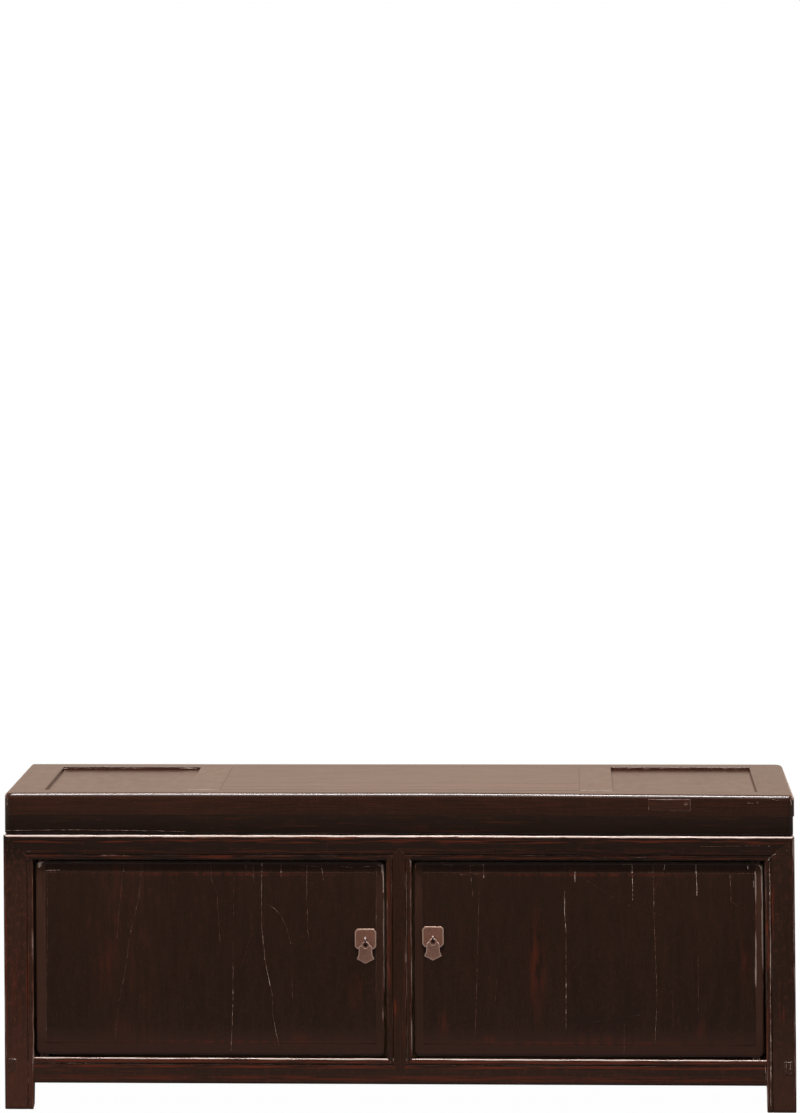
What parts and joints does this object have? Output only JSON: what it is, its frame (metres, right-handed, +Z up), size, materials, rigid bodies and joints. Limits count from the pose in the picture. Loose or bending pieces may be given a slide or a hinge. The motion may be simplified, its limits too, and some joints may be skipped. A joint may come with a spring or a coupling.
{
  "type": "kang cabinet",
  "caption": "Low lacquered cabinet with a mitred rail-and-post frame, pivoting doors with hanging tag pulls, and a framed top with a sunken tray at each end.",
  "frame": {"origin": "bottom centre of the whole cabinet's box, at floor level, the pull rings counted in its depth", "axes": "+X to the right seen from the front along the length, -Y out of the door face, +Z up"},
  "size_m": [1.2, 0.4318, 0.484],
  "materials": {
    "frame_lacquer": "dark brown-black lacquer, glossy, worn reddish along the edges",
    "door_lacquer": "dark brown-black lacquer with fine upright cracks",
    "top_lacquer": "dark brown-black lacquer, satin to glossy",
    "bare_wood": "unlacquered aged softwood",
    "pull_metal": "aged copper-brown brass with worn brighter rims"
  },
  "bodies": {
    "carcass": {"centre_stile": "frame_lacquer", "door_stop_strip": "bare_wood", "floor_board_front": "bare_wood", "floor_board_middle": "bare_wood", "floor_board_rear": "bare_wood", "front_bottom_rail": "frame_lacquer", "front_top_rail": "frame_lacquer", "left_floor_batten": "bare_wood", "left_front_leg": "frame_lacquer", "left_rear_leg": "frame_lacquer", "left_rear_panel": "bare_wood", "left_side_bottom_rail": "frame_lacquer", "left_side_panel": "frame_lacquer", "left_side_top_rail": "frame_lacquer", "left_top_board_batten": "bare_wood", "left_top_cross_rail": "top_lacquer", "left_top_end_rail": "top_lacquer", "left_tray_batten": "bare_wood", "left_tray_panel": "top_lacquer", "left_waist_board": "frame_lacquer", "rear_bottom_rail": "frame_lacquer", "rear_stile": "bare_wood", "rear_top_rail": "frame_lacquer", "right_floor_batten": "bare_wood", "right_front_leg": "frame_lacquer", "right_rear_leg": "frame_lacquer", "right_rear_panel": "bare_wood", "right_side_bottom_rail": "frame_lacquer", "right_side_panel": "frame_lacquer", "right_side_top_rail": "frame_lacquer", "right_top_board_batten": "bare_wood", "right_top_cross_rail": "top_lacquer", "right_top_end_rail": "top_lacquer", "right_tray_batten": "bare_wood", "right_tray_panel": "top_lacquer", "right_waist_board": "frame_lacquer", "top_centre_board_front": "top_lacquer", "top_centre_board_middle": "top_lacquer", "top_centre_board_rear": "top_lacquer", "top_fascia_patch": "top_lacquer", "top_front_rail": "top_lacquer", "top_rear_rail": "top_lacquer", "waist_board_front": "frame_lacquer", "waist_board_rear": "frame_lacquer"},
    "left_door": {"left_door_hinge_board": "door_lacquer", "left_door_lower_batten": "bare_wood", "left_door_meeting_board": "door_lacquer", "left_door_middle_board": "door_lacquer", "left_door_upper_batten": "bare_wood", "left_pull_pin": "pull_metal", "left_pull_plate": "pull_metal"},
    "right_door": {"right_door_hinge_board": "door_lacquer", "right_door_lower_batten": "bare_wood", "right_door_meeting_board": "door_lacquer", "right_door_middle_board": "door_lacquer", "right_door_upper_batten": "bare_wood", "right_pull_pin": "pull_metal", "right_pull_plate": "pull_metal"},
    "left_tag": {"left_pull_tag": "pull_metal"},
    "right_tag": {"right_pull_tag": "pull_metal"}
  },
  "joints": [
    {"name": "left_door_hinge", "type": "hinge", "parent": "carcass", "child": "left_door", "pos_m": [-0.54, -0.1921, 0.2301], "axis": [0, 0, -1], "range_deg": [0, 105]},
    {"name": "right_door_hinge", "type": "hinge", "parent": "carcass", "child": "right_door", "pos_m": [0.54, -0.1921, 0.2301], "axis": [0, 0, 1], "range_deg": [0, 105]},
    {"name": "left_tag_swing", "type": "hinge", "parent": "left_door", "child": "left_tag", "pos_m": [-0.0511, -0.2101, 0.2588], "axis": [-1, 0, 0], "range_deg": [-7, 150]},
    {"name": "right_tag_swing", "type": "hinge", "parent": "right_door", "child": "right_tag", "pos_m": [0.0511, -0.20829, 0.2626], "axis": [-1, 0, 0], "range_deg": [-5, 150]}
  ]
}
